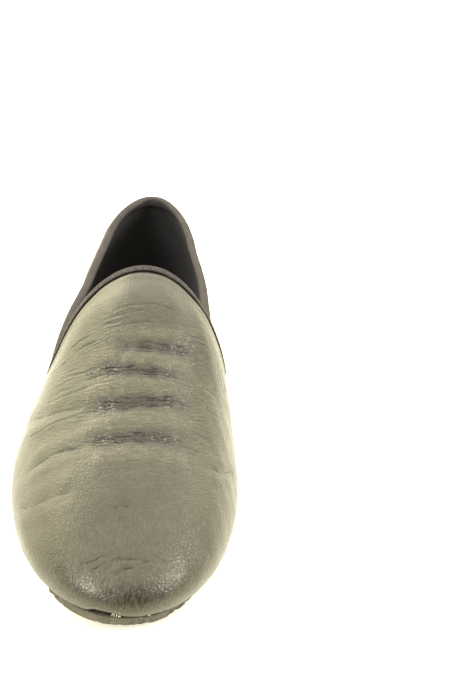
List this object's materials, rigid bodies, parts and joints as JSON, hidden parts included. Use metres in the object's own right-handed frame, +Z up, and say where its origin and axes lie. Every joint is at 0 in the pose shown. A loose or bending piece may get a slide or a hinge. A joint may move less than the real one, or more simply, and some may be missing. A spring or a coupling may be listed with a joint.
{
  "type": "jazz shoe",
  "caption": "Right-foot slip-on jazz shoe: soft black leather upper with a bound collar and rounded vamp, on a thin flexible full-length sole with toe spring and arch.",
  "frame": {"origin": "centre of the bounding box on the ground plane the sole stands on", "axes": "toe towards -Y, heel towards +Y, inner (medial) side at +X, outer (lateral) side at -X, +Z up"},
  "size_m": [0.091, 0.268, 0.0803],
  "materials": {
    "upper_leather": "semi-gloss pebbled grain",
    "binding_tape": "matt",
    "sole_rubber": "matt, rough-cut edge",
    "insole_cloth": "matt"
  },
  "bodies": {
    "root": {"upper": "upper_leather", "topline_binding": "binding_tape", "outsole": "sole_rubber", "insole": "insole_cloth"}
  },
  "joints": []
}
